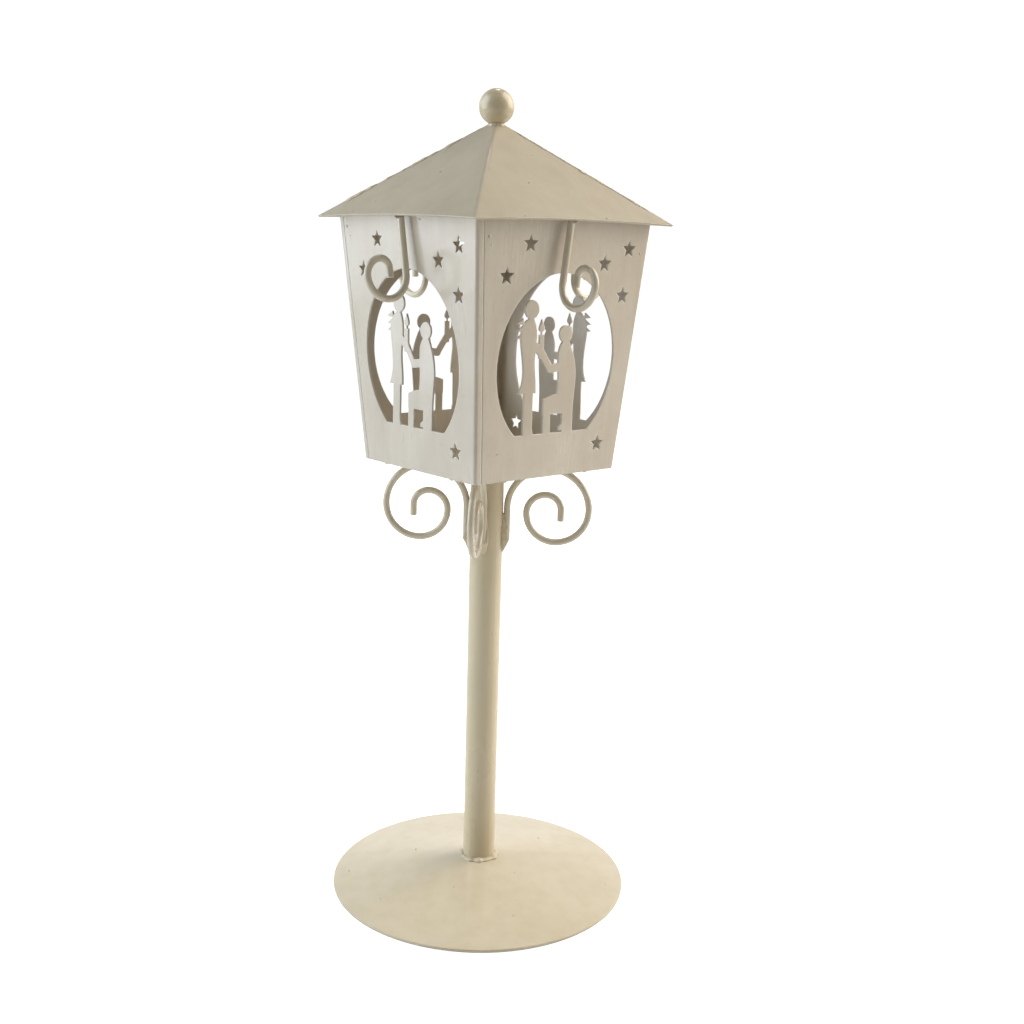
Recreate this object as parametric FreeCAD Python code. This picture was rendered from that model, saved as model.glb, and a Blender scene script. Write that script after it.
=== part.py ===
import FreeCAD, Part
import os
from math import atan, copysign, cos, degrees, pi, radians, sin, tan

# Table-top candle lantern in the form of a street lamp: a shallow round base, a
# tube post, a square lantern box of four cut-out panels, and a lift-off roof.
# Millimetres, +Z up. The origin is the centre of the base's resting rim.
# The lantern's sides face +X, +Y, -X and -Y, and its front corner faces +X -Y.

# --- stock ------------------------------------------------------------------------------------
sheet = 0.9                 # steel sheet of the box, the floor and the roof
wire_radius = 1.6           # rod that every scroll and clip is bent from
wire_end_round = 0.3        # edge break on a cut rod end

# --- base and post ----------------------------------------------------------------------------
base_radius = 74.0
base_sheet = 1.2
base_rise = 13.5            # height of the base cone at the axis, over its rim
rim_land = 1.6              # width of the flat ring that the base stands on
post_radius = 8.0
post_wall = 1.2
post_hole_gap = 0.15        # radial gap between the post and the hole in the base
foot_weld_height = 2.2
foot_weld_width = 2.4
foot_weld_bulge = (0.45, 0.65)  # where its outline bulges, as shares of its width and height

# --- lantern box ------------------------------------------------------------------------------
box_bottom = 217.0          # height of the panels' lower edges
box_height = 118.2
box_half_bottom = 42.6      # half the outside width at the lower edges
box_half_top = 52.0         # half the outside width at the upper edges
corner_flange = 3.6         # strip that each panel folds round its right corner
corner_round = 1.5          # outside radius of that fold
seam_gap = 0.25             # gap between a flange and the next panel
floor_gap = 0.2             # gap between the floor plate and the panels
tack_radius = 1.4
seam_tack_shares = (0.2, 0.8)  # heights of the tacks inside a seam, as shares of its length
floor_tack_share = 0.6      # place of the tacks under the floor's edge, from the middle to a corner
floor_tack_rise = 0.9       # how far their centres lie over the floor's underside

# --- window, figures and stars, measured on a panel from its bottom centre --------------------
sill = 20.4
window_half_width = 35.0
window_half_height = 40.4
window_centre = 52.0
star_radius = 4.2
star_waist = 1.9
star_places = [(-21.3, 104.9), (-33.4, 91.0), (23.8, 96.7), (38.5, 103.4), (37.0, 82.3), (29.9, 13.2)]

# --- lower scroll brackets --------------------------------------------------------------------
seat_gap = 0.3              # gap left where a round part bears on another
scroll_bends = [(19.8, 180), (16.2, 90), (14.0, 90), (9.3, 90), (7.4, 90)]
scroll_tail = 5.3
scroll_stem = 15.0          # straight run beside the post, under the first bend
scroll_twist = {"front": -3.0, "right": 0.0, "rear": 1.5, "left": 0.0}
scroll_tack_sink = 0.6      # how far the centre of the tack over a scroll lies under the floor
scroll_tack_side = 0.9      # and how far it lies beside the rod's axis, as a share of its radius
# Weld beside each stem, from its tip up: height over the rod's lower end in mm, then half
# width and reach past the post, both as shares of the rod's radius.
scroll_weld_levels = [(-7.0, 0.56, 0.06), (-0.8, 1.31, 1.94), (4.0, 1.25, 1.31), (12.0, 0.7, 0.59)]

# --- roof -------------------------------------------------------------------------------------
roof_pitch = 37.4           # degrees
roof_half = 58.9            # half the width across the eaves
eave_bow = 1.8              # how far the eave is cut back at mid-side
fold_round = 2.0            # outside radius of the two folded ridges
ridge_gap = 0.3             # open seam between the two halves, under the weld
apex_flat = 3.6             # radius at which the apex is cut flat under the ball
ridge_weld_radius = 1.2
ridge_weld_sink = 0.8       # how far the bead's axis lies under the ridge line
ridge_weld_reach = (7.0, 74.0)
ball_radius = 8.2
ball_seat_gap = 0.3
ball_weld_radius = 4.6
ball_weld_taper = 0.8       # its radius under the ball, as a share of the one on the roof
lid_gap = 0.3               # gap between the panels' top edges and the roof

# --- roof clips -------------------------------------------------------------------------------
clip_clearance = 0.35       # gap between a clip and the panel edge as the lid lifts
clip_slant = 2.6            # degrees that the rod leans in towards the panel
clip_bends = [(10.2, 180), (7.4, 90), (4.4, 90)]
clip_tail = 4.2
# Each clip was set by eye: side angle, sideways lean in degrees, shift, bend height.
clip_settings = {
    "right": (0, -6.0, -1.6, 87.9),
    "rear": (90, 2.0, 0.6, 88.4),
    "left": (180, -3.0, 0.5, 87.6),
    "front": (270, 7.0, 2.0, 89.6),
}
clip_weld_radius = 2.8

origin = FreeCAD.Vector(0, 0, 0)
up = FreeCAD.Vector(0, 0, 1)
side_angles = {"right": 0, "rear": 90, "left": 180, "front": 270}
corner_angles = {"front": 315, "right": 45, "rear": 135, "left": 225}
near = 0.02                 # slack when an edge is found by where it lies


def vec(x, y, z=0.0):
    return FreeCAD.Vector(x, y, z)


def turned(shape, angle):
    """A copy of the shape, turned about the post's axis."""
    copy = shape.copy()
    copy.rotate(origin, up, angle)
    return copy


def save(node, shape):
    os.makedirs("parts", exist_ok=True)
    shape.exportStep("parts/" + node + ".step")


def face_of(points):
    return Part.Face(Part.makePolygon([vec(*p) for p in points] + [vec(*points[0])]))


def revolved(profile):
    """Full turn about Z of a closed (radius, height) outline."""
    return face_of([(r, 0, z) for r, z in profile]).revolve(origin, up, 360)


def rectangle_at(x_low, x_high, y_low, y_high, z):
    corners = [(x_low, y_low, z), (x_high, y_low, z), (x_high, y_high, z), (x_low, y_high, z)]
    return Part.makePolygon([vec(*c) for c in corners + corners[:1]])


def square_tube(half_low, z_low, half_high, z_high):
    """Solid square frustum about Z."""
    low = rectangle_at(-half_low, half_low, -half_low, half_low, z_low)
    high = rectangle_at(-half_high, half_high, -half_high, half_high, z_high)
    return Part.makeLoft([low, high], True, True)


# --- base: a shallow cone of sheet, standing on its rim ---------------------------------------
base_slope = base_rise / base_radius
post_hole = post_radius + post_hole_gap


def base_top(radius):
    return base_sheet + (base_radius - radius) * base_slope


def base_underside(radius):
    return (base_radius - rim_land - radius) * base_slope


base_disc = revolved([
    (base_radius - rim_land, 0),
    (base_radius, 0),
    (base_radius, base_sheet),
    (post_hole, base_top(post_hole)),
    (post_hole, base_underside(post_hole)),
])
save("base_disc", base_disc)

# --- post: round tube from the base's underside to the lantern's floor ------------------------
post_foot = base_underside(post_hole)
post_height = box_bottom - post_foot
post_tube = Part.makeCylinder(post_radius, post_height, vec(0, 0, post_foot))
post_tube = post_tube.cut(Part.makeCylinder(post_radius - post_wall, post_height, vec(0, 0, post_foot)))
save("post_tube", post_tube)

foot_weld_low = base_top(post_hole)
foot_weld_edge = post_radius + foot_weld_width
bulge_out, bulge_up = foot_weld_bulge
foot_weld = revolved([
    (post_radius, foot_weld_low),
    (post_hole, foot_weld_low),
    (foot_weld_edge, base_top(foot_weld_edge)),
    (post_radius + bulge_out * foot_weld_width, foot_weld_low + bulge_up * foot_weld_height),
    (post_radius, foot_weld_low + foot_weld_height),
])
save("post_foot_weld", foot_weld)

# --- lantern box ------------------------------------------------------------------------------
box_top = box_bottom + box_height
box_spread = (box_half_top - box_half_bottom) / box_height
panel_tilt = degrees(atan(box_spread))
panel_inset = sheet / cos(radians(panel_tilt))      # sheet thickness measured level
margin = 5.0                                        # how far cutting shapes overrun


def box_half(z):
    return box_half_bottom + (z - box_bottom) * box_spread


box_outside = square_tube(box_half_bottom, box_bottom, box_half_top, box_top)
box_inside = square_tube(
    box_half(box_bottom - margin) - panel_inset, box_bottom - margin,
    box_half(box_top + margin) - panel_inset, box_top + margin)
box_shell = box_outside.cut(box_inside)

# A shape drawn flat, x to the right and y up, stands on the +X side's outer face.
stand_up = FreeCAD.Rotation(vec(1, 1, 1), 120)
on_panel = FreeCAD.Placement(
    vec(box_half_bottom, 0, box_bottom),
    FreeCAD.Rotation(vec(0, 1, 0), panel_tilt).multiply(stand_up))
on_sill = FreeCAD.Placement(on_panel.multVec(vec(0, sill)), stand_up)


def extruded(face, low, high):
    copy = face.copy()
    copy.translate(vec(0, 0, low))
    return copy.extrude(vec(0, 0, high - low))


def star(x, y):
    points = []
    for i in range(10):
        radius = star_radius if i % 2 == 0 else star_waist
        angle = pi / 2 + i * pi / 5
        points.append((x + radius * cos(angle), y + radius * sin(angle)))
    return extruded(face_of(points), -margin, margin)


def window():
    """Upright ellipse with a straight sill."""
    ellipse = Part.Ellipse(
        vec(0, window_centre + window_half_height), vec(window_half_width, window_centre),
        vec(0, window_centre))
    opening = extruded(Part.Face(Part.Wire(ellipse.toShape())), -margin, margin)
    below = Part.makeBox(
        2 * window_half_width, sill, 2 * margin, vec(-window_half_width, 0, -margin))
    return opening.cut(below)


# Figures, drawn from the middle of the sill: plain silhouettes with round heads.
def plate(face):
    return extruded(face, -sheet, 0)


def round_plate(x, y, radius):
    return plate(Part.Face(Part.Wire(Part.makeCircle(radius, vec(x, y)))))


def limb(start, end, width):
    """Straight strip with round ends."""
    along = (vec(*end) - vec(*start)).normalize()
    across = vec(-along.y, along.x) * (width / 2)
    corners = [vec(*start) + across, vec(*end) + across, vec(*end) - across, vec(*start) - across]
    strip = plate(Part.Face(Part.makePolygon(corners + corners[:1])))
    return strip.multiFuse([round_plate(*start, width / 2), round_plate(*end, width / 2)])


def garment(front, back):
    """Outline with a smooth front and back, both listed from the neck to the hem."""
    edges = []
    for side in (front, back[::-1]):
        curve = Part.BSplineCurve()
        curve.interpolate([vec(*p) for p in side])
        edges.append(curve.toShape())
    edges.append(Part.makeLine(vec(*back[0]), vec(*front[0])))
    edges.insert(1, Part.makeLine(vec(*front[-1]), vec(*back[-1])))
    return plate(Part.Face(Part.Wire(edges)))


def figures():
    adult = [
        garment(
            front=[(-12.0, 51.5), (-10.2, 46.0), (-11.0, 33.0), (-10.2, 24.0), (-10.0, 18.6)],
            back=[(-15.6, 51.5), (-19.0, 47.5), (-18.6, 36.0), (-17.8, 29.0), (-20.2, 18.6)]),
        round_plate(-13.4, 55.8, 4.2),
        limb((-13.8, 50.0), (-13.4, 54.0), 3.0),
        limb((-14.2, 20.0), (-14.4, 2.8), 5.4),
        plate(face_of([(-17.1, 0), (-11.0, 0), (-11.7, 3.0), (-17.1, 3.0)])),
        limb((-12.6, 41.5), (-7.6, 36.6), 3.4),
    ]
    ribbon = [plate(face_of([(-17.6, y), (-22.2, y + 0.6), (-18.2, y + 3.0)])) for y in (42.6, 45.8, 49.0)]
    child = [
        garment(
            front=[(5.6, 41.2), (3.6, 38.0), (3.2, 31.0), (3.4, 22.0), (2.4, 15.0)],
            back=[(9.4, 41.2), (11.6, 37.0), (14.0, 28.0), (13.8, 20.0), (13.0, 8.6)]),
        round_plate(7.3, 44.6, 3.9),
        limb((7.6, 39.6), (7.3, 43.0), 2.8),
        plate(face_of([(-5.3, 8.6), (13.0, 8.6), (11.0, 17.5), (1.0, 17.5), (-5.3, 15.6)])),
        plate(face_of([(-5.0, 0), (-0.8, 0), (-0.8, 9.0), (-5.0, 9.0)])),
        plate(face_of([(6.4, 0), (13.0, 0), (13.0, 9.0), (6.4, 9.0)])),
        plate(face_of([(4.4, 0.9), (7.0, 0.9), (7.0, 4.6), (5.6, 3.4), (4.4, 2.6)])),
        limb((5.0, 30.0), (-1.6, 29.2), 3.8),
        limb((-1.6, 29.2), (-7.2, 37.0), 3.4),
    ]
    candle = [
        plate(face_of([(-8.7, 34.0), (-5.9, 34.0), (-5.9, 44.6), (-8.7, 44.6)])),
        plate(face_of([(-7.6, 44.0), (-7.0, 44.0), (-7.0, 47.0), (-7.6, 47.0)])),
        round_plate(-7.3, 47.4, 1.6),
        plate(face_of([(-8.8, 47.9), (-5.8, 47.9), (-7.3, 51.4)])),
    ]
    pieces = adult + ribbon + child + candle
    return pieces[0].multiFuse(pieces[1:]).removeSplitter()


def panel_region():
    """Everything between a panel's left seam and the end of its right-hand flange."""
    levels = []
    for z in (box_bottom - margin, box_top + margin):
        half = box_half(z)
        levels.append(rectangle_at(
            half - corner_flange, half + margin, -half + corner_flange + seam_gap, half + margin, z))
    return Part.makeLoft(levels, True, True)


def fold_edges(solid, inset):
    """The fold's long edge, on the corner line that lies inset from the outside."""
    def on_line(v):
        corner = box_half(v.Z) - inset
        return abs(v.X - corner) < near and abs(v.Y - corner) < near

    return [edge for edge in solid.Edges
            if edge.Length > box_height / 2 and all(on_line(v) for v in edge.Vertexes)]


panel_blank = box_shell.common(panel_region())
panel_blank = panel_blank.makeFillet(corner_round, fold_edges(panel_blank, 0))
panel_blank = panel_blank.makeFillet(corner_round - sheet, fold_edges(panel_blank, panel_inset))
cuts = [window()] + [star(x, y) for x, y in star_places]
for cut in cuts:
    cut.Placement = on_panel.multiply(cut.Placement)
cut_out = figures()
cut_out.Placement = on_sill.multiply(cut_out.Placement)
panel = panel_blank.cut(cuts).fuse(cut_out).removeSplitter()
for side, angle in side_angles.items():
    save("panel_" + side, turned(panel, angle))

# --- floor plate: square sheet inside the panels' lower edges ---------------------------------
floor_half = box_half(box_bottom) - panel_inset - floor_gap
floor_plate = Part.makeBox(
    2 * floor_half, 2 * floor_half, sheet, vec(-floor_half, -floor_half, box_bottom))
save("floor_plate", floor_plate)

# --- tack welds: inside the seams, and under the edges of the floor and the panels ------------
def seam_tack(z):
    """Bead on the inside of the seam beside the +X side's left-hand corner."""
    seam = -box_half(z) + corner_flange + seam_gap / 2
    return Part.makeSphere(tack_radius, vec(box_half(z) - panel_inset, seam, z)).common(box_inside)


def floor_tack(y):
    """Flat bead under the +X side, across the gap between the floor and the panel."""
    reach = (tack_radius ** 2 - floor_tack_rise ** 2) ** 0.5
    bead = Part.makeSphere(
        tack_radius, vec(box_half_bottom - reach, y, box_bottom + floor_tack_rise))
    return bead.common(under_floor)


under_floor = Part.makeBox(
    2 * box_half_bottom, 2 * box_half_bottom, margin,
    vec(-box_half_bottom, -box_half_bottom, box_bottom - margin))
side_tacks = [seam_tack(box_bottom + box_height * share) for share in seam_tack_shares]
side_tacks += [floor_tack(side * floor_half * floor_tack_share) for side in (-1, 1)]
save("box_tack_welds", Part.makeCompound(
    [turned(tack, angle) for tack in side_tacks for angle in side_angles.values()]))


# --- bent rod ---------------------------------------------------------------------------------
def rod_run(start, heading, length):
    """Straight rod in the XZ plane; the heading is in degrees from +X towards +Z."""
    along = vec(cos(radians(heading)), 0, sin(radians(heading)))
    return Part.makeCylinder(wire_radius, length, start, along), start + along * length


def rod_bend(start, heading, radius, turn):
    """Piece of a ring, which bends to the right of the heading, or left if turn is negative."""
    along = vec(cos(radians(heading)), 0, sin(radians(heading)))
    centre = start + vec(along.z, 0, -along.x) * copysign(radius, turn)
    disc = Part.Face(Part.Wire(Part.makeCircle(wire_radius, start, along)))
    piece = disc.revolve(centre, vec(0, 1, 0), turn)
    turned_start = FreeCAD.Rotation(vec(0, 1, 0), turn).multVec(start - centre)
    return piece, centre + turned_start


def bent_rod(start, heading, run, bends, tail):
    """Straight run, then bends given as (radius, turn), then a straight tail."""
    piece, point = rod_run(start, heading, run)
    pieces = [piece]
    for radius, turn in bends:
        piece, point = rod_bend(point, heading, radius, turn)
        heading -= turn
        pieces.append(piece)
    piece, point = rod_run(point, heading, tail)
    rod = pieces[0].multiFuse(pieces[1:] + [piece]).removeSplitter()
    end = [edge for edge in rod.Edges if (edge.CenterOfMass - point).Length < near]
    return rod.makeFillet(wire_end_round, end)


# --- scroll brackets: from the post's side, over under the floor, and round inwards -----------
scroll_line = post_radius + seat_gap + wire_radius
scroll_radius, scroll_turn = scroll_bends[0]
scroll_bend_height = box_bottom - seat_gap - wire_radius - scroll_radius
scroll_foot = scroll_bend_height - scroll_stem
scroll = bent_rod(vec(scroll_line, 0, scroll_foot), 90, scroll_stem, scroll_bends, scroll_tail)

# The stem's weld fills the crevice beside the post and tapers away below the rod.
weld_sections = []
for height, width_share, reach_share in scroll_weld_levels:
    half_width = width_share * wire_radius
    weld_sections.append(rectangle_at(
        post_radius - wire_radius, post_radius + reach_share * wire_radius,
        -half_width, half_width, scroll_foot + height))
post_solid = Part.makeCylinder(post_radius, post_height, vec(0, 0, post_foot))
stem = Part.makeCylinder(wire_radius, scroll_stem, vec(scroll_line, 0, scroll_foot))
scroll_weld = Part.makeLoft(weld_sections, True, True).cut([post_solid, stem])

# A tack joins the top of the first bend to the floor plate.
floor_spot = scroll_line + scroll_radius
first_bend = Part.makeTorus(
    scroll_radius, wire_radius, vec(floor_spot, 0, scroll_bend_height), vec(0, 1, 0))
scroll_tack = Part.makeSphere(
    tack_radius, vec(floor_spot, scroll_tack_side * wire_radius, box_bottom - scroll_tack_sink))
scroll_tack = scroll_tack.common(under_floor).cut(first_bend)

scroll_welds = []
for corner, angle in corner_angles.items():
    set_angle = angle + scroll_twist[corner]
    save("scroll_bracket_" + corner, turned(scroll, set_angle))
    scroll_welds += [turned(scroll_weld, set_angle), turned(scroll_tack, set_angle)]
save("scroll_welds", Part.makeCompound(scroll_welds))

# --- roof: two folded sheets that meet along the left and right ridges ------------------------
slope = tan(radians(roof_pitch))
roof_drop = sheet / cos(radians(roof_pitch))        # sheet thickness measured upright
seat_height = box_top + lid_gap                     # underside of the roof over the panels
eave_top = seat_height + roof_drop - (roof_half - box_half_top) * slope
apex = eave_top + roof_half * slope
lip_half = roof_half - sheet * sin(radians(roof_pitch))
lip_height = eave_top - sheet * cos(radians(roof_pitch))


def pyramid(half, base, tip_drop):
    """Square pyramid whose faces run parallel to the roof, under its apex."""
    low = rectangle_at(-half, half, -half, half, base)
    tip = near
    high = rectangle_at(-tip, tip, -tip, tip, apex - tip_drop - tip * slope)
    return Part.makeLoft([low, high], True, True)


def ridge_edges(solid):
    """Outer edges of the front and rear ridges."""
    def on_ridge(v):
        return abs(v.X + v.Y) < near and abs(v.Z - (apex - abs(v.X) * slope)) < near

    return [edge for edge in solid.Edges
            if edge.Length > roof_half / 2 and all(on_ridge(v) for v in edge.Vertexes)]


roof_solid = square_tube(lip_half, lip_height, roof_half, eave_top).fuse(
    pyramid(roof_half, eave_top, 0)).removeSplitter()
under_roof = pyramid(lip_half, lip_height, roof_drop)
roof_shell = roof_solid.cut(under_roof)
apex_cut = Part.makeCylinder(apex_flat, 4 * apex_flat, vec(0, 0, apex - 2 * apex_flat))
roof_shell = roof_shell.cut(apex_cut)

# Each eave is cut to a shallow arc, so the corners hang lowest.
eave_cut = Part.Face(Part.Wire([
    Part.Arc(vec(-roof_half, 0), vec(0, eave_bow), vec(roof_half, 0)).toShape(),
    Part.makeLine(vec(roof_half, 0), vec(roof_half, -margin)),
    Part.makeLine(vec(roof_half, -margin), vec(-roof_half, -margin)),
    Part.makeLine(vec(-roof_half, -margin), vec(-roof_half, 0))]))
eave_cut = extruded(eave_cut, -margin, margin)
eave_cut.Placement = FreeCAD.Placement(
    vec(roof_half, 0, eave_top), FreeCAD.Rotation(vec(0, 1, 0), roof_pitch - 90).multiply(stand_up))
roof_shell = roof_shell.cut([turned(eave_cut, angle) for angle in side_angles.values()])

roof_shell = roof_shell.makeFillet(fold_round, ridge_edges(roof_shell))
half_box = Part.makeBox(
    4 * roof_half, 2 * roof_half, 2 * roof_half, vec(-2 * roof_half, ridge_gap / 2, eave_top - roof_half))
for side, angle in (("front", 225), ("rear", 45)):
    save("roof_half_" + side, roof_shell.common(turned(half_box, angle)))

# --- ridge welds: one bead along each seam, short of the corner's tip -------------------------
ridge_near, ridge_far = ridge_weld_reach
ridge_direction = vec(cos(pi / 4), sin(pi / 4), -slope * cos(pi / 4))
bead = Part.makeCylinder(
    ridge_weld_radius, (ridge_far - ridge_near) * ridge_direction.Length,
    vec(0, 0, apex - ridge_weld_sink) + ridge_direction * ridge_near, ridge_direction)
bead = bead.cut(roof_solid)
save("ridge_weld_right", bead)
save("ridge_weld_left", turned(bead, 180))

# --- ball finial, resting on the flat apex ----------------------------------------------------
apex_top = apex - apex_flat * cos(pi / 4) * slope       # the ridges are the last to be cut away
ball_centre = apex_top + ball_seat_gap + (ball_radius ** 2 - apex_flat ** 2) ** 0.5
ball = Part.makeSphere(ball_radius, vec(0, 0, ball_centre))
save("finial_ball", ball)

ball_weld_low = apex - ball_weld_radius * slope
ball_weld_high = ball_centre - (ball_radius ** 2 - ball_weld_radius ** 2) ** 0.5
finial_weld = revolved([
    (apex_flat, ball_weld_low),
    (ball_weld_radius, ball_weld_low),
    (ball_weld_radius * ball_weld_taper, ball_weld_high),
    (apex_flat, ball_weld_high),
])
finial_weld = finial_weld.cut([roof_solid, ball])
save("finial_weld", finial_weld)

# --- roof clips: hang from the roof, down the middle of each panel, and curl outwards ---------
clip_line = box_half_top + clip_clearance + wire_radius
clip_room = under_roof.fuse(square_tube(2 * roof_half, lip_height - box_height, 2 * roof_half, lip_height))
clip_welds = []
for side, (angle, lean, shift, bend) in clip_settings.items():
    bend_height = box_bottom + bend
    run = (seat_height - bend_height) / cos(radians(clip_slant)) + margin
    heading = 270 - clip_slant
    bend_start = vec(clip_line, 0, bend_height)
    top = bend_start - vec(cos(radians(heading)), 0, sin(radians(heading))) * run
    turns = [(radius, -turn) for radius, turn in clip_bends]
    clip = bent_rod(top, heading, run, turns, clip_tail)
    clip.rotate(vec(clip_line, 0, seat_height), vec(1, 0, 0), lean)
    clip.translate(vec(0, shift, 0))
    roof_underside = seat_height - (top.x - box_half_top) * slope
    weld = Part.makeSphere(clip_weld_radius, vec(top.x, shift, roof_underside))
    weld = weld.common(clip_room).cut(clip)
    save("roof_clip_" + side, turned(clip.common(clip_room), angle))
    clip_welds.append(turned(weld, angle))
save("clip_welds", Part.makeCompound(clip_welds))
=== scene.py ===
from math import copysign, cos, degrees, exp, pi, radians, sin, sqrt

import bmesh
import bpy
from mathutils import Matrix, Vector, noise


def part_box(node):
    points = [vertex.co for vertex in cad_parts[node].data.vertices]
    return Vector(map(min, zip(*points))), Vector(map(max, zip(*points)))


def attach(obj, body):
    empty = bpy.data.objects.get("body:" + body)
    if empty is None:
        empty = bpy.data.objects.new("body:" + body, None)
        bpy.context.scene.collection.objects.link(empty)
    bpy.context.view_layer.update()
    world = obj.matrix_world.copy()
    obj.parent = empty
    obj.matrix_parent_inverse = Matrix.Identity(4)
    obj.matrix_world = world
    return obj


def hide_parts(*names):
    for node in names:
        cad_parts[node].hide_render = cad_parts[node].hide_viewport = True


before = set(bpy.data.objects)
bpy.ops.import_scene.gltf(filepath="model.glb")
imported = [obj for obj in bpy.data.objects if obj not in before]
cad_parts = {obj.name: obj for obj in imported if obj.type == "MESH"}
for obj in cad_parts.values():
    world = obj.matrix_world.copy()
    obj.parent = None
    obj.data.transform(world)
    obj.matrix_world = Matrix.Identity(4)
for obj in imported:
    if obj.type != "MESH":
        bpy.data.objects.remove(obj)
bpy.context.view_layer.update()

# ---------------------------------------------------------------------------------------
# Base plate: a disc of sheet steel pressed to a shallow cone, painted ivory with the rest.
# The enamel is brushed and sprayed by hand, so it ripples and holds dust and brush marks.


def new_node(tree, kind, **settings):
    """A new shader node with its settings."""
    node = tree.nodes.new("ShaderNode" + kind)
    for name, value in settings.items():
        setattr(node, name, value)
    return node


def fill(tree, node, **inputs):
    """Sets each input to a value, or joins it to an output; n0 is the first input, n1 the next."""
    for name, source in inputs.items():
        if name[0] == "n" and name[1:].isdigit():
            socket = node.inputs[int(name[1:])]
        else:
            socket = node.inputs[name.replace("_", " ")]
        if isinstance(source, bpy.types.NodeSocket):
            tree.links.new(source, socket)
        else:
            socket.default_value = source
    return node


def mottle(tree, where, scale, detail=2.0, roughness=0.5):
    """Soft random patches from 0 to 1."""
    node = new_node(tree, "TexNoise")
    fill(tree, node, Vector=where, Scale=scale, Detail=detail, Roughness=roughness)
    return node.outputs["Fac"]


def reckon(tree, operation, first, second):
    """The result of one sum on two values."""
    return fill(tree, new_node(tree, "Math", operation=operation), n0=first, n1=second).outputs[0]


def ramp(tree, source, low, high, to_low=0.0, to_high=1.0):
    """Spreads the part of a value between low and high over another range, and stops it there."""
    node = new_node(tree, "MapRange")
    fill(tree, node, Value=source, From_Min=low, From_Max=high, To_Min=to_low, To_Max=to_high)
    return node.outputs["Result"]


def tinted(tree, share, first, second):
    """Mixes two colours."""
    node = fill(tree, new_node(tree, "Mix", data_type="RGBA"), n0=share, n6=first, n7=second)
    return node.outputs[2]


def stretched(tree, where, stretch):
    """A place scaled by a different amount each way, for marks that run up and down."""
    return fill(tree, new_node(tree, "Mapping"), Vector=where, Scale=stretch).outputs[0]


def group_sockets(group, way, sockets):
    """Gives a node group its named inputs or outputs: colours where the value has four parts."""
    for name, value in sockets:
        kind = "Color" if isinstance(value, tuple) else "Float"
        socket = group.interface.new_socket(name=name, in_out=way, socket_type="NodeSocket" + kind)
        socket.default_value = value


ivory = (0.7, 0.6, 0.42, 1.0)
enamel = bpy.data.node_groups.new("hand_brushed_enamel", "ShaderNodeTree")
group_sockets(enamel, "INPUT", [
    ("Paint", ivory),                       # full coat
    ("Thin Paint", (0.6, 0.5, 0.34, 1.0)),  # where the coat is thin, or dust has settled
    ("Patchiness", 0.5),
    ("Ripple", 0.5),                        # orange peel
    ("Streaks", 0.3),                       # marks of the brush and the rubbing down
    ("Nibs", 0.3),                          # dust dried into the coat
    ("Dullness", 0.3)])
group_sockets(enamel, "OUTPUT", [("Colour", ivory), ("Roughness", 0.3), ("Height", 0.0)])
given = enamel.nodes.new("NodeGroupInput").outputs
on_object = new_node(enamel, "TexCoord").outputs["Object"]
patches = mottle(enamel, on_object, scale=22.0, detail=4.0, roughness=0.55)
grain = mottle(enamel, on_object, scale=420.0)
peel = mottle(enamel, on_object, scale=650.0, detail=1.0)
swell = mottle(enamel, on_object, scale=95.0)
brush = mottle(enamel, stretched(enamel, on_object, (900.0, 900.0, 40.0)), scale=1.0, roughness=0.6)
bands = mottle(enamel, stretched(enamel, on_object, (120.0, 120.0, 12.0)), scale=1.0)
nib_map = fill(enamel, new_node(enamel, "TexVoronoi"), Vector=on_object, Scale=260.0, Randomness=1.0)
nib_near = ramp(enamel, nib_map.outputs["Distance"], 0.16, 0.0)
nib_here = ramp(enamel, mottle(enamel, on_object, scale=75.0, detail=1.0), 0.62, 0.7)
nib = reckon(enamel, "MULTIPLY", nib_near, nib_here)

# Where the coat is thin: in patches and bands, in flecks, and along the brush marks.
uneven = reckon(enamel, "ADD", ramp(enamel, patches, 0.38, 0.7), ramp(enamel, bands, 0.42, 0.7, 0.0, 0.6))
thin = reckon(enamel, "MULTIPLY", uneven, given["Patchiness"])
fleck = reckon(enamel, "MULTIPLY", ramp(enamel, grain, 0.6, 0.8), given["Streaks"])
brushed = reckon(enamel, "MULTIPLY", ramp(enamel, brush, 0.35, 0.75), given["Streaks"])
marked = reckon(enamel, "ADD", fleck, reckon(enamel, "MULTIPLY", brushed, 0.35))
worn = reckon(enamel, "MINIMUM", reckon(enamel, "ADD", thin, marked), 1.0)
coat = tinted(enamel, worn, given["Paint"], given["Thin Paint"])
nib_dust = (0.34, 0.27, 0.17, 1.0)
nib_shade = reckon(enamel, "MULTIPLY", nib, reckon(enamel, "MULTIPLY", given["Nibs"], 0.6))
coat = tinted(enamel, nib_shade, coat, nib_dust)

# How dull it is, and how far peel, swells, brush marks and nibs stand up.
dulled = reckon(enamel, "ADD", given["Dullness"], ramp(enamel, patches, 0.3, 0.75, -0.05, 0.09))
dulled = reckon(enamel, "ADD", dulled, reckon(enamel, "MULTIPLY", brushed, 0.12))
raised_peel = reckon(enamel, "MULTIPLY", peel, reckon(enamel, "MULTIPLY", given["Ripple"], 0.25))
raised_swell = reckon(enamel, "MULTIPLY", swell, given["Ripple"])
raised_brush = reckon(enamel, "MULTIPLY", brush, reckon(enamel, "MULTIPLY", given["Streaks"], 0.3))
raised_nib = reckon(enamel, "MULTIPLY", nib, given["Nibs"])
raised = reckon(enamel, "ADD", raised_peel, raised_swell)
raised = reckon(enamel, "ADD", raised, raised_brush)
raised = reckon(enamel, "ADD", raised, raised_nib)
fill(enamel, enamel.nodes.new("NodeGroupOutput"), Colour=coat, Roughness=dulled, Height=raised)

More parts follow.
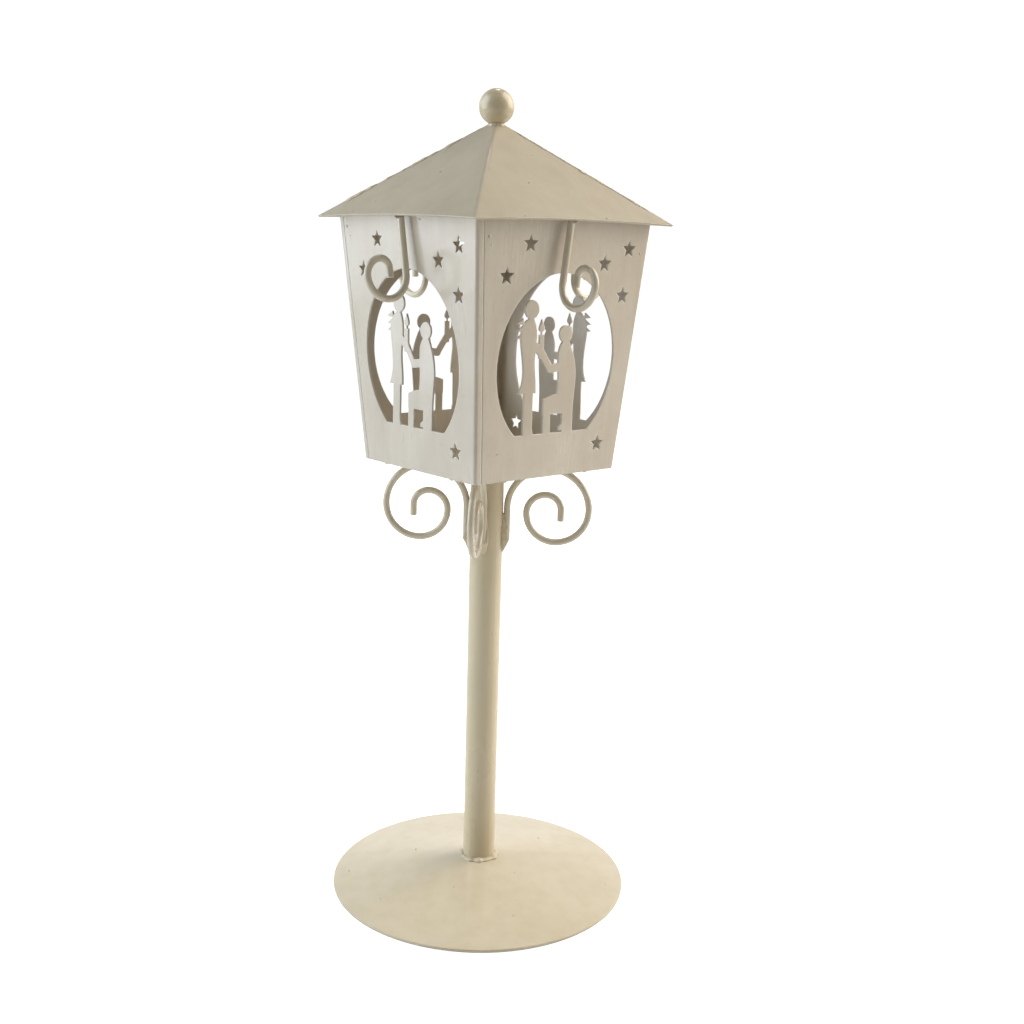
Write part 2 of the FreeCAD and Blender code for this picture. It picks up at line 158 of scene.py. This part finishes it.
# Every cut edge carries a thicker, paler roll of paint with a painted highlight on it, and every nook is
# darkened as painted shade where occlusion finds it.
edge_radius = 0.0009
nook_shade_reach = 0.0032
edges = bpy.data.node_groups.new("edge_highlight_and_nook_shade", "ShaderNodeTree")
group_sockets(edges, "INPUT", [
    ("Colour", ivory),
    # The edge colour is a paler roll of paint with a painted highlight in it, and the nook colour is
    # painted shade.
    ("Edge Paint", (0.8, 0.72, 0.56, 1.0)),
    ("Nook Paint", (0.28, 0.22, 0.13, 1.0)),
    ("Edge Share", 0.6),
    ("Nook Share", 0.6)])
group_sockets(edges, "OUTPUT", [("Colour", ivory)])
edges.interface.new_socket(name="Rounded Normal", in_out="OUTPUT", socket_type="NodeSocketVector")
given = edges.nodes.new("NodeGroupInput").outputs
# Near each edge the rounded normal turns away from the face, and there the paint is made paler: thicker
# paint and a painted highlight together.
edge_roll = fill(edges, new_node(edges, "Bevel", samples=6), Radius=edge_radius).outputs[0]
true_face = new_node(edges, "NewGeometry").outputs["Normal"]
turned_away = new_node(edges, "VectorMath", operation="DOT_PRODUCT")
fill(edges, turned_away, n0=edge_roll, n1=true_face)
edge_highlight = reckon(edges, "MULTIPLY", ramp(edges, turned_away.outputs["Value"], 0.9, 0.82), given["Edge Share"])
# Occlusion within a few millimetres darkens the paint in corners, seams and round lumps: painted shade.
open_air = fill(edges, new_node(edges, "AmbientOcclusion", samples=6), Distance=nook_shade_reach).outputs["AO"]
nook_shade = reckon(edges, "MULTIPLY", ramp(edges, open_air, 0.62, 0.2), given["Nook Share"])
edged = tinted(edges, edge_highlight, given["Colour"], given["Edge Paint"])
edged = tinted(edges, nook_shade, edged, given["Nook Paint"])
fill(edges, edges.nodes.new("NodeGroupOutput"), Colour=edged, Rounded_Normal=edge_roll)


def enamelled(name, edge_paint, nook_paint, edge_share, nook_share, depth, coat_weight, **coat_values):
    """A painted material, from both groups with its own values."""
    finish = bpy.data.materials.new(name)
    finish.use_nodes = True
    tree = finish.node_tree
    shader = tree.nodes["Principled BSDF"]
    fill(tree, shader, IOR=1.5, Coat_Roughness=0.12, Coat_Weight=coat_weight)
    paint = new_node(tree, "Group", node_tree=enamel)
    fill(tree, paint, **coat_values)
    # The second group paints highlights on the edges and shade into the nooks.
    rolled = new_node(tree, "Group", node_tree=edges)
    fill(tree, rolled, Colour=paint.outputs["Colour"], Edge_Paint=edge_paint, Nook_Paint=nook_paint,
         Edge_Share=edge_share, Nook_Share=nook_share)
    bump = new_node(tree, "Bump")
    fill(tree, bump, Height=paint.outputs["Height"], Distance=depth, Strength=1.0,
         Normal=rolled.outputs["Rounded Normal"])
    fill(tree, shader, Base_Color=rolled.outputs["Colour"], Roughness=paint.outputs["Roughness"],
         Normal=bump.outputs["Normal"])
    return finish


def finish_node(node, finish):
    """Gives a CAD piece its paint."""
    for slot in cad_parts[node].material_slots:
        slot.material = finish


base_enamel = enamelled(
    "base_enamel", edge_paint=(0.86, 0.79, 0.62, 1), nook_paint=(0.30, 0.23, 0.13, 1),
    edge_share=0.5, nook_share=0.7, depth=0.00035, coat_weight=0.6,
    Paint=(0.715, 0.632, 0.465, 1), Thin_Paint=(0.645, 0.553, 0.385, 1),
    Patchiness=0.75, Ripple=0.35, Streaks=0.2, Nibs=0.5, Dullness=0.36)
finish_node("base_disc", base_enamel)

# ---------------------------------------------------------------------------------------
# Post: steel tube under the same ivory enamel, thicker and glossier than on the sheet. The
# ball on the roof is dipped in it too.
tube_enamel = enamelled(
    "tube_enamel", edge_paint=(0.80, 0.72, 0.54, 1), nook_paint=(0.26, 0.2, 0.11, 1),
    edge_share=0.4, nook_share=0.75, depth=0.0003, coat_weight=0.5,
    Paint=(0.66, 0.57, 0.385, 1), Thin_Paint=(0.58, 0.485, 0.305, 1),
    Patchiness=0.55, Ripple=0.4, Streaks=0.22, Nibs=0.45, Dullness=0.27)
finish_node("post_tube", tube_enamel)

# ---------------------------------------------------------------------------------------
# Foot weld: a run of weld round the post where it passes through the base, put down in
# short lumps, with a blob at the front and one bare spot, all painted over.
weld_enamel = enamelled(
    "weld_enamel", edge_paint=(0.78, 0.7, 0.52, 1), nook_paint=(0.27, 0.21, 0.12, 1),
    edge_share=0.25, nook_share=0.25, depth=0.0003, coat_weight=0.4,
    Paint=(0.68, 0.59, 0.41, 1), Thin_Paint=(0.58, 0.485, 0.315, 1),
    Patchiness=0.6, Ripple=0.5, Streaks=0.25, Nibs=0.6, Dullness=0.32)


def skinned(name, rings, closed):
    """A smooth skin over rings of points; it joins its own end, or is capped at both."""
    count = len(rings[0])
    faces = []
    for i in range(len(rings) if closed else len(rings) - 1):
        here = i * count
        there = (i + 1) % len(rings) * count
        for k in range(count):
            after = (k + 1) % count
            faces.append((here + k, here + after, there + after, there + k))
    if not closed:
        faces.append(tuple(range(count)))
        faces.append(tuple(len(rings) * count - 1 - k for k in range(count)))
    mesh = bpy.data.meshes.new(name)
    mesh.from_pydata([tuple(p) for ring in rings for p in ring], [], faces)
    clean = bmesh.new()
    clean.from_mesh(mesh)
    bmesh.ops.recalc_face_normals(clean, faces=clean.faces)
    clean.to_mesh(mesh)
    clean.free()
    mesh.shade_smooth()
    made = bpy.data.objects.new(name, mesh)
    bpy.context.collection.objects.link(made)
    return made


def painted_weld(bead, body, *replaced):
    """Puts a bead on its body, in weld paint, in place of the plain weld."""
    bead.data.materials.append(weld_enamel)
    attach(bead, body)
    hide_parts(*replaced)


def swell_at(turn, beats, seed):
    """How far a bead swells at this share of its length, about 1: the beats of the torch."""
    beat = abs(sin(pi * beats * turn + seed)) ** 0.7
    drift = noise.noise(Vector((cos(2 * pi * turn) * 2.4, sin(2 * pi * turn) * 2.4, seed)))
    return 0.78 + 0.22 * beat + 0.35 * drift


def lump_at(angle, place, width, amount):
    """What one lump adds to a ring at this angle, or a dip takes; place and width in degrees."""
    away = (degrees(angle - radians(place)) + 180) % 360 - 180
    return amount * exp(-(away / width) ** 2)


def ring_bead(name, radius, height, half_width, half_height, fall, beats, seed, lumps):
    """A bead round the post's axis that falls away outwards, with lumps and dips of its own."""
    stations = 300
    around = 14
    rings = []
    for i in range(stations):
        angle = 2 * pi * i / stations
        extra = 1 + sum(lump_at(angle, *lump) for lump in lumps)
        size = swell_at(i / stations, beats, seed) * extra
        ring = []
        for k in range(around):
            phase = 2 * pi * k / around
            out = half_width * size * cos(phase)
            reach = radius + out
            ring.append((reach * cos(angle), reach * sin(angle),
                         height + half_height * size * sin(phase) - fall * out))
        rings.append(ring)
    return skinned(name, rings, True)


weld_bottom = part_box("post_foot_weld")[0].z
post_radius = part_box("post_tube")[1].x
out_from_post = 0.0005
up_from_base = 0.0004
foot_bead = ring_bead(
    "foot_weld_bead", radius=post_radius + out_from_post, height=weld_bottom + up_from_base,
    half_width=0.0016, half_height=0.00095, fall=0.18, beats=11, seed=2.3,
    lumps=((-38, 11, 0.6), (-62, 9, 0.3), (18, 14, 0.25), (-112, 7, -0.78), (120, 25, 0.3)))
painted_weld(foot_bead, "stand", "post_foot_weld")

# ---------------------------------------------------------------------------------------
# Scroll brackets: four lengths of round rod, bent cold on a jig, with cut ends. Each hangs
# from the lantern's floor and its stem lies along the post.
rod_enamel = enamelled(
    "rod_enamel", edge_paint=(0.84, 0.77, 0.60, 1), nook_paint=(0.24, 0.18, 0.1, 1),
    edge_share=0.3, nook_share=0.7, depth=0.00025, coat_weight=0.55,
    Paint=(0.66, 0.59, 0.45, 1), Thin_Paint=(0.57, 0.50, 0.365, 1),
    Patchiness=0.5, Ripple=0.45, Streaks=0.15, Nibs=0.5, Dullness=0.25)
for corner in ("front", "right", "rear", "left"):
    finish_node("scroll_bracket_" + corner, rod_enamel)


def run_bead(node, name, body, voxel, growth, lumpiness, seed):
    """A weld's own shape again, but lumpy: it is melted to one skin and pushed in and out."""
    bead = bpy.data.objects.new(name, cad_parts[node].data.copy())
    bead.data.materials.clear()
    bpy.context.collection.objects.link(bead)
    melt = bead.modifiers.new("melt", "REMESH")
    melt.mode = "VOXEL"
    melt.voxel_size = voxel
    in_one = bead.evaluated_get(bpy.context.evaluated_depsgraph_get())
    melted = bpy.data.meshes.new_from_object(in_one)
    bead.modifiers.clear()
    bead.data = melted
    melted.name = name
    lumps_a_metre = 330
    outward = [v.normal.copy() for v in melted.vertices]
    for vertex, way in zip(melted.vertices, outward):
        spot = vertex.co * lumps_a_metre + Vector((seed, 0, 0))
        lump = noise.noise(spot) + 0.3 * noise.noise(spot * 2.3)
        vertex.co += way * (growth + lumpiness * lump)
    melted.shade_smooth()
    painted_weld(bead, body, node)


run_bead("scroll_welds", "scroll_weld_beads", "stand",
         voxel=0.00032, growth=0.0003, lumpiness=0.00022, seed=4.0)

# ---------------------------------------------------------------------------------------
# Lantern box: four cut-out panels of thin sheet round a square floor, folded at one corner
# each and tacked inside. The paint on them is thin, grey where it faces the cool light.
panel_enamel = enamelled(
    "panel_enamel", edge_paint=(0.97, 0.94, 0.87, 1), nook_paint=(0.22, 0.17, 0.1, 1),
    edge_share=0.9, nook_share=0.5, depth=0.0003, coat_weight=0.35,
    Paint=(0.64, 0.58, 0.475, 1), Thin_Paint=(0.535, 0.465, 0.36, 1),
    Patchiness=0.6, Ripple=0.45, Streaks=0.35, Nibs=0.6, Dullness=0.28)
for side in ("front", "right", "rear", "left"):
    finish_node("panel_" + side, panel_enamel)
finish_node("floor_plate", panel_enamel)
run_bead("box_tack_welds", "box_tack_beads", "stand",
         voxel=0.00022, growth=0.00028, lumpiness=0.0004, seed=9.0)

# ---------------------------------------------------------------------------------------
# Roof: two folded sheets welded along the left and right ridges, with a ball on top. It
# lifts off in one piece, together with the four clips that hold it centred.
# The roof is in the same ivory enamel as the rest, painted darker here as painted shade.
shaded_roof_enamel = enamelled(
    "shaded_roof_enamel", edge_paint=(0.90, 0.86, 0.74, 1), nook_paint=(0.24, 0.18, 0.1, 1),
    edge_share=0.85, nook_share=0.5, depth=0.00028, coat_weight=0.08,
    Paint=(0.52, 0.455, 0.335, 1), Thin_Paint=(0.46, 0.39, 0.275, 1),
    Patchiness=0.7, Ripple=0.4, Streaks=0.3, Nibs=0.7, Dullness=0.42)
roof_halves = ("roof_half_front", "roof_half_rear")
for half in roof_halves:
    finish_node(half, shaded_roof_enamel)


def roof_height(x, y):
    """Height of the roof's outside over a place in plan."""
    overhead = 1
    for half in roof_halves:
        hit, spot, *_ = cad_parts[half].ray_cast(Vector((x, y, overhead)), Vector((0, 0, -1)))
        if hit:
            return spot.z


def ridge_bead(name, node, way, half_width, half_height, beats, seed, wander):
    """A low bead over a ridge's open seam; way is +1 for the right ridge, -1 for the left."""
    stations = 260
    around = 16
    below_ball = 0.0006
    short_of_eaves = 0.0018
    seam_half = 0.0004
    buried = 0.0003
    low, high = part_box(node)
    near = max(low.x, -high.x) + below_ball
    far = max(high.x, -low.x) - short_of_eaves
    rings = []
    for i in range(stations):
        share = i / (stations - 1)
        along = near + (far - near) * share
        taper = min(1.0, 9 * share + 0.3, 12 * (1 - share) + 0.25)
        size = swell_at(share, beats, seed) * taper
        size *= 1 + wander * noise.noise(Vector((share * 19, seed, 0)))
        shift = 0.0005 * wander * noise.noise(Vector((share * 9, 0, seed)))
        ring = []
        for k in range(around):
            phase = 2 * pi * k / around
            out = (half_width * size * cos(phase) + shift) / sqrt(2)
            beside = copysign(max(abs(out), seam_half), out)
            rise = max(half_height * size * sin(phase) * abs(sin(phase)), -buried)
            height = roof_height(way * (along + beside), way * (along - beside))
            ring.append((way * (along + out), way * (along - out), height + rise))
        rings.append(ring)
    painted_weld(skinned(name, rings, False), "roof", node)


ridge_bead("ridge_bead_left", "ridge_weld_left", -1,
           half_width=0.0018, half_height=0.0006, beats=5, seed=1.7, wander=1.0)
ridge_bead("ridge_bead_right", "ridge_weld_right", 1,
           half_width=0.0015, half_height=0.00035, beats=9, seed=5.2, wander=0.35)
finish_node("finial_ball", tube_enamel)
weld_low, weld_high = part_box("finial_weld")
in_from_rim = 0.0016
up_from_middle = 0.0001
finial_bead = ring_bead(
    "finial_weld_bead", radius=weld_high.x - in_from_rim,
    height=(weld_low.z + weld_high.z) / 2 + up_from_middle,
    half_width=0.0011, half_height=0.0011, fall=0.3, beats=5, seed=7.4,
    lumps=((-20, 30, 0.25), (160, 40, 0.3)))
painted_weld(finial_bead, "roof", "finial_weld")
for side in ("front", "right", "rear", "left"):
    finish_node("roof_clip_" + side, rod_enamel)
run_bead("clip_welds", "clip_weld_beads", "roof",
         voxel=0.0003, growth=-0.0004, lumpiness=0.0004, seed=2.0)

# ---------------------------------------------------------------------------------------
# Nibs and runs in the paint: grit and spatter that the enamel dried over, a few on every
# face, and beads where it gathered along the lower edges before it set.


def surface(pieces, place, out):
    """Where a line that comes in from outside, through this place, first meets a piece, if any."""
    well_outside = 0.5
    start = place + out * well_outside
    hits = [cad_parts[piece].ray_cast(start, -out) for piece in pieces]
    met = [(spot, face) for hit, spot, face, _ in hits if hit]
    return min(met, key=lambda found: (found[0] - start).length, default=None)


def nib_at(mesh, spot, out, size, tall, seed):
    """One smooth lump on a surface, this share of its size tall; no two are the same shape."""
    turn = out.to_track_quat("Z", "Y").to_matrix().to_4x4()
    place = Matrix.Translation(spot) @ turn @ Matrix.Diagonal((size, size, size * tall, 1))
    made = bmesh.ops.create_icosphere(mesh, subdivisions=3, radius=1.0)
    for vertex in made["verts"]:
        vertex.co *= 1 + 0.35 * noise.noise(vertex.co * 1.3 + Vector((seed * 7.7, 0, 0)))
        vertex.co = place @ vertex.co


def nib_piece(name, mesh, body, finish):
    """One piece from all the nibs of a body, in the paint that they are part of."""
    built = bpy.data.meshes.new(name)
    mesh.to_mesh(built)
    mesh.free()
    built.shade_smooth()
    built.materials.append(finish)
    piece = bpy.data.objects.new(name, built)
    bpy.context.collection.objects.link(piece)
    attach(piece, body)


upward = Vector((0, 0, 1))
panel_faces = {"right": Vector((1, 0, 0)), "rear": Vector((0, 1, 0)),
               "left": Vector((-1, 0, 0)), "front": Vector((0, -1, 0))}
# Place across the panel and height, both in metres, then the nib's size. One whose place is
# in an opening is left out.
panel_nibs = {
    "front": [(-0.0455, 0.3268, 0.0007), (-0.0432, 0.3225, 0.0004),
              (0.031, 0.229, 0.0004), (0.012, 0.3305, 0.0004)],
    "right": [(-0.0445, 0.3240, 0.0008), (-0.043, 0.3205, 0.0005),
              (0.046, 0.318, 0.0005), (-0.031, 0.2300, 0.0004)],
    "rear": [(-0.040, 0.326, 0.0006), (0.037, 0.305, 0.0004), (0.02, 0.2265, 0.0005)],
    "left": [(0.0435, 0.327, 0.0006), (-0.038, 0.312, 0.0004), (0.008, 0.2255, 0.0004)]}
edge_beads = ((-0.028, 0.0005), (0.009, 0.0004), (0.033, 0.00055))
edge_bead_rise = 0.0004
edge_bead_sink = 0.0003
box_nibs = bmesh.new()
seed = 0
for side, places in panel_nibs.items():
    out = panel_faces[side]
    level = Vector((-out.y, out.x, 0))
    for across, height, size in places:
        seed += 1
        met = surface(["panel_" + side], level * across + upward * height, out)
        if met:
            nib_at(box_nibs, *met, size, tall=0.45, seed=seed)
    edge_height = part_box("panel_" + side)[0].z + edge_bead_rise
    for across, size in edge_beads:
        seed += 1
        spot, face = surface(["panel_" + side], level * across + upward * edge_height, out)
        nib_at(box_nibs, spot - out * edge_bead_sink, face, size, tall=1.0, seed=seed)
nib_piece("paint_nibs_on_box", box_nibs, "stand", panel_enamel)

# On the roof: place in plan, then size; the last few lie on the eaves.
roof_nibs = bmesh.new()
for x, y, size in (
        (0.0009, -0.0326, 0.0008), (-0.012, -0.041, 0.0004), (-0.024, -0.050, 0.0005),
        (0.021, 0.004, 0.0004), (0.038, -0.012, 0.0005), (-0.031, 0.014, 0.0006),
        (0.006, 0.036, 0.0005), (-0.044, -0.021, 0.0004), (0.0565, 0.018, 0.0007),
        (-0.033, -0.0565, 0.0006), (0.0568, -0.03, 0.0005), (-0.0565, 0.026, 0.0006),
        (0.022, 0.0565, 0.0006)):
    seed += 1
    nib_at(roof_nibs, *surface(roof_halves, Vector((x, y, 0)), upward), size, tall=0.5, seed=seed)
nib_piece("paint_nibs_on_roof", roof_nibs, "roof", shaded_roof_enamel)

# On the base, the angle and distance from the post's axis, then size.
stand_nibs = bmesh.new()
for angle, reach, size in (
        (-62, 0.031, 0.0005), (-20, 0.052, 0.0006), (10, 0.024, 0.0004), (95, 0.045, 0.0006),
        (150, 0.06, 0.0005), (-95, 0.058, 0.0004), (-150, 0.035, 0.0006), (40, 0.066, 0.0005),
        (-128, 0.0665, 0.0005)):
    seed += 1
    place = Vector((cos(radians(angle)), sin(radians(angle)), 0)) * reach
    nib_at(stand_nibs, *surface(["base_disc"], place, upward), size, tall=0.4, seed=seed)
# On the post, the angle and height, then size.
for angle, height, size in (
        (-52, 0.061, 0.0005), (-14, 0.118, 0.0004), (60, 0.09, 0.0005), (170, 0.15, 0.0006),
        (-110, 0.035, 0.0005)):
    seed += 1
    out = Vector((cos(radians(angle)), sin(radians(angle)), 0))
    nib_at(stand_nibs, *surface(["post_tube"], upward * height, out), size, tall=0.4, seed=seed)
nib_piece("paint_nibs_on_stand", stand_nibs, "stand", tube_enamel)

# ---------------------------------------------------------------------------------------
# The table: one wide pale sheet that the lantern stands on. It is stage, not part of the
# lantern, and it glows a little so that it stays as pale as the backdrop.
table_half = 9.0
table_drop = 0.0003
table_corners = [Vector((x, y, 0)) * table_half - upward * table_drop
                 for x, y in ((-1, -1), (1, -1), (1, 1), (-1, 1))]
table_mesh = bpy.data.meshes.new("table")
table_mesh.from_pydata(table_corners, [], [(0, 1, 2, 3)])
table = bpy.data.objects.new("table", table_mesh)
bpy.context.collection.objects.link(table)

table_paper = bpy.data.materials.new("pale_table_paper")
table_paper.use_nodes = True
paper_tree = table_paper.node_tree
glow_on_lantern = 0.06
glow_in_view = 0.86
to_camera = new_node(paper_tree, "LightPath").outputs["Is Camera Ray"]
fill(paper_tree, paper_tree.nodes["Principled BSDF"], Base_Color=(0.86, 0.86, 0.86, 1), Roughness=0.7,
     Specular_IOR_Level=0.1, Emission_Color=(1, 1, 1, 1),
     Emission_Strength=ramp(paper_tree, to_camera, 0.0, 1.0, glow_on_lantern, glow_in_view))
table_mesh.materials.append(table_paper)

# ---------------------------------------------------------------------------------------
# The studio: two soft boxes either side of the lantern, cool on the left and warm on the
# right, a small high window behind it, and a pale backdrop all round.
aim = Vector((0, 0, 0.19))


def soft_box(name, azimuth, elevation, distance, width, height, power, colour):
    """A lit rectangle that faces the middle of the lantern."""
    lamp = bpy.data.lights.new(name, "AREA")
    lamp.shape = "RECTANGLE"
    lamp.size = width
    lamp.size_y = height
    lamp.energy = power
    lamp.color = colour
    holder = bpy.data.objects.new(name, lamp)
    bpy.context.collection.objects.link(holder)
    level = distance * cos(radians(elevation))
    away = Vector((level * cos(radians(azimuth)), level * sin(radians(azimuth)),
                   distance * sin(radians(elevation))))
    holder.location = aim + away
    holder.rotation_euler = away.to_track_quat("Z", "Y").to_euler()


soft_box("soft_box_left", azimuth=-128, elevation=25, distance=1.3,
         width=1.1, height=1.45, power=17.0, colour=(0.83, 0.91, 1.0))
soft_box("soft_box_right", azimuth=62, elevation=36, distance=1.2,
         width=1.0, height=1.4, power=19.0, colour=(1.0, 0.94, 0.86))
soft_box("high_window", azimuth=135, elevation=60, distance=1.2,
         width=0.12, height=0.12, power=0.8, colour=(1.0, 0.98, 0.95))

# The backdrop lights the lantern mostly from low down behind it, and weakly all round.
backdrop = bpy.data.worlds.new("pale_backdrop")
backdrop.use_nodes = True
sky_tree = backdrop.node_tree
behind_lantern = (-0.757, 0.653, 0.0)
outlook = new_node(sky_tree, "TexCoord").outputs["Generated"]
facing = new_node(sky_tree, "VectorMath", operation="DOT_PRODUCT")
fill(sky_tree, facing, n0=outlook, n1=behind_lantern)
skyward = fill(sky_tree, new_node(sky_tree, "SeparateXYZ"), n0=outlook).outputs["Z"]
paper_behind = reckon(sky_tree, "MULTIPLY", ramp(sky_tree, facing.outputs["Value"], 0.05, 0.75),
                      ramp(sky_tree, skyward, 0.4, 0.7, 1.0, 0.0))
light_on_lantern = ramp(sky_tree, paper_behind, 0.0, 1.0, 0.10, 0.95)
light_in_view = 1.1
seen_by_camera = new_node(sky_tree, "LightPath").outputs["Is Camera Ray"]
fill(sky_tree, sky_tree.nodes["Background"], Color=(1, 1, 1, 1),
     Strength=ramp(sky_tree, seen_by_camera, 0.0, 1.0, light_on_lantern, light_in_view))
bpy.context.scene.world = backdrop
bpy.context.scene.view_settings.view_transform = "Standard"

# The camera looks slightly down at the lantern's front corner, held a little off level.
camera_place = Vector((0.4788, -0.3971, 0.3243))
camera_azimuth = 49.2
camera_down = 11.92
camera_roll = 1.62
camera_data = bpy.data.cameras.new("camera")
camera_data.lens = 45.88
camera_data.sensor_width = 36.0
camera_data.clip_start = 0.02
camera = bpy.data.objects.new("camera", camera_data)
bpy.context.collection.objects.link(camera)
camera.matrix_world = (
    Matrix.Translation(camera_place)
    @ Matrix.Rotation(radians(camera_azimuth), 4, "Z")
    @ Matrix.Rotation(radians(90 - camera_down), 4, "X")
    @ Matrix.Rotation(radians(camera_roll), 4, "Z"))
bpy.context.scene.camera = camera
